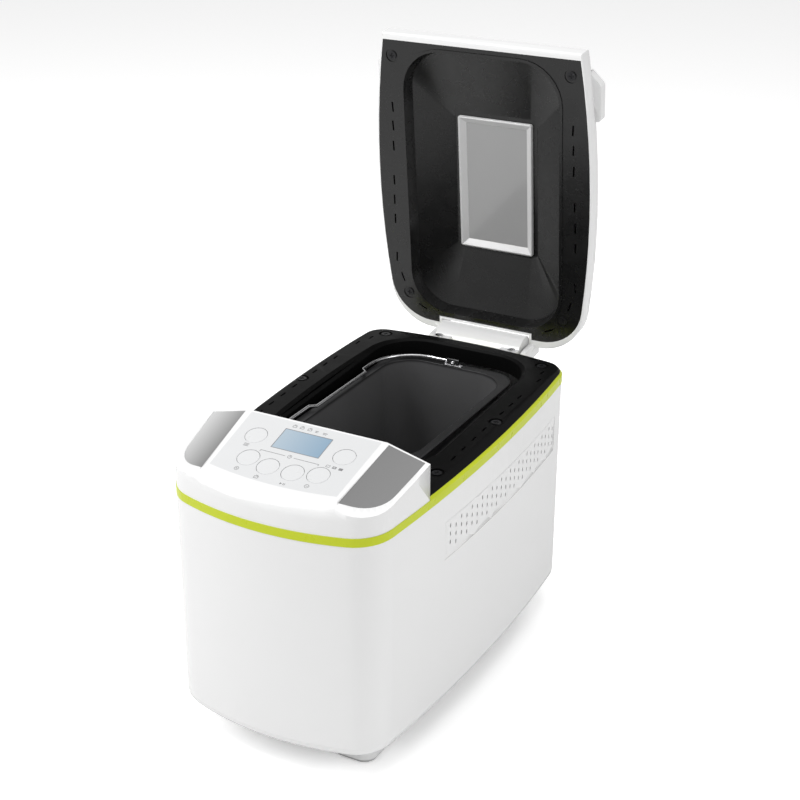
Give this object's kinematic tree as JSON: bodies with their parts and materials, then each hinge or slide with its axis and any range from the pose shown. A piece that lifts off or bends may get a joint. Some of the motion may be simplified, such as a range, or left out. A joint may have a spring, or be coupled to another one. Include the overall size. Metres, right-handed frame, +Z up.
{
  "type": "bread machine",
  "caption": "Compact white bread machine with a hinged windowed lid, a yellow-green trim band, a sloping control panel and a lift-out kneading pan.",
  "frame": {"origin": "on the floor plane under the middle of the body", "axes": "+Z up, front with the control panel at -Y, +X to the right of someone who stands in front of it; the lid stands open at rest"},
  "size_m": [0.2182, 0.4301, 0.5224],
  "materials": {
    "white_shell": "glossy white",
    "window_white": "glossy white",
    "panel_print": "satin white overlay with grey print",
    "keys": "satin white",
    "green_band": "glossy yellow-green",
    "deck_black": "satin black",
    "liner_black": "satin black",
    "black_screw": "black oxide",
    "rubber": "matte",
    "wing_grey": "silver grey, satin",
    "display": "clear window over a pale blue display",
    "module_grey": "grey",
    "board_green": "solder mask",
    "sheet_steel": "sheet, mill finish",
    "heater": "heat darkened sheath",
    "zinc": "zinc plated",
    "bronze": "sintered bronze",
    "belt": "matte",
    "capacitor": "moulded case",
    "ceramic": "glazed",
    "gland_black": "satin black",
    "bright_steel": "bright steel",
    "pulley_plastic": "natural nylon",
    "nonstick": "satin non-stick coating",
    "bearing_grey": "machined",
    "glass": "tempered glass"
  },
  "bodies": {
    "housing": {"housing_shell": "white_shell", "base_plate": "white_shell", "control_housing": "white_shell", "vent_panel_left": "white_shell", "vent_panel_right": "white_shell", "hinge_block": "white_shell", "panel_film": "panel_print", "trim_ring": "green_band", "deck_frame": "deck_black", "deck_screws": "black_screw", "foot_pads": "rubber", "motor_mounts": "rubber", "wing_inlay_left": "wing_grey", "wing_inlay_right": "wing_grey", "display_lens": "display", "display_module": "module_grey", "control_board": "board_green", "power_board": "board_green", "cavity_box": "sheet_steel", "element_clamps": "sheet_steel", "pan_clips": "sheet_steel", "temperature_probe": "sheet_steel", "heating_element": "heater", "chassis_frame": "zinc", "bearing_housing": "zinc", "motor_body": "zinc", "drive_bearings": "bronze", "drive_belt": "belt", "motor_capacitor": "capacitor", "thermal_fuse": "ceramic", "cord_gland": "gland_black", "hinge_screws": "bright_steel", "base_screws": "bright_steel"},
    "pan": {"pan_body": "nonstick", "pan_bearing": "bearing_grey", "handle_brackets": "bright_steel"},
    "handle": {"pan_handle": "bright_steel"},
    "pan shaft": {"pan_shaft": "bright_steel", "pan_coupling": "zinc", "retaining_ring": "bright_steel"},
    "paddle": {"kneading_paddle": "nonstick"},
    "drive": {"drive_shaft": "bright_steel", "drive_dog": "zinc", "large_pulley": "pulley_plastic"},
    "motor rotor": {"motor_shaft": "bright_steel", "small_pulley": "zinc"},
    "lid": {"lid_shell": "white_shell", "lid_grips": "white_shell", "lid_liner": "liner_black", "window_frame": "window_white", "window_glass_inner": "glass", "window_glass_outer": "glass", "lid_screws": "black_screw", "hinge_pins": "bright_steel"},
    "menu key": {"button_menu": "keys"},
    "plus key": {"button_plus": "keys"},
    "weight key": {"button_weight": "keys"},
    "start key": {"button_start": "keys"},
    "minus key": {"button_minus": "keys"},
    "crust key": {"button_crust": "keys"}
  },
  "joints": [
    {"name": "lid_hinge", "type": "hinge", "parent": "housing", "child": "lid", "pos_m": [0, 0.2033, 0.2262], "axis": [-1, 0, 0], "range_deg": [-83.8, 0]},
    {"name": "pan_lift", "type": "slide", "parent": "housing", "child": "pan", "axis": [0, 0, 1], "range_m": [0, 0.2]},
    {"name": "handle_swing", "type": "hinge", "parent": "pan", "child": "handle", "pos_m": [0, 0.05, 0.2333], "axis": [0, 1, 0], "range_deg": [0, 175]},
    {"name": "pan_shaft_spin", "type": "hinge", "parent": "pan", "child": "pan shaft", "pos_m": [0, 0.05, 0.11], "axis": [0, 0, 1], "continuous": true},
    {"name": "paddle_lift", "type": "slide", "parent": "pan shaft", "child": "paddle", "axis": [0, 0, 1], "range_m": [0, 0.1]},
    {"name": "drive_spin", "type": "hinge", "parent": "housing", "child": "drive", "pos_m": [0, 0.05, 0.07], "axis": [0, 0, 1], "continuous": true},
    {"name": "motor_spin", "type": "hinge", "parent": "housing", "child": "motor rotor", "pos_m": [0, -0.125, 0.07], "axis": [0, 0, 1], "continuous": true},
    {"name": "menu_press", "type": "slide", "parent": "housing", "child": "menu key", "axis": [0, 0.2672, -0.9636], "range_m": [0, 0.0005], "stiffness_N_per_m": 400, "springref_m": -0.0003},
    {"name": "plus_press", "type": "slide", "parent": "housing", "child": "plus key", "axis": [0, 0.2672, -0.9636], "range_m": [0, 0.0005], "stiffness_N_per_m": 400, "springref_m": -0.0003},
    {"name": "weight_press", "type": "slide", "parent": "housing", "child": "weight key", "axis": [0, 0.2672, -0.9636], "range_m": [0, 0.0005], "stiffness_N_per_m": 400, "springref_m": -0.0003},
    {"name": "start_press", "type": "slide", "parent": "housing", "child": "start key", "axis": [0, 0.2672, -0.9636], "range_m": [0, 0.0005], "stiffness_N_per_m": 400, "springref_m": -0.0003},
    {"name": "minus_press", "type": "slide", "parent": "housing", "child": "minus key", "axis": [0, 0.2672, -0.9636], "range_m": [0, 0.0005], "stiffness_N_per_m": 400, "springref_m": -0.0003},
    {"name": "crust_press", "type": "slide", "parent": "housing", "child": "crust key", "axis": [0, 0.2672, -0.9636], "range_m": [0, 0.0005], "stiffness_N_per_m": 400, "springref_m": -0.0003}
  ],
  "couplings": [
    {"joint": "pan_shaft_spin", "follows": "drive_spin", "ratio": 1},
    {"joint": "motor_spin", "follows": "drive_spin", "ratio": 3.8}
  ]
}
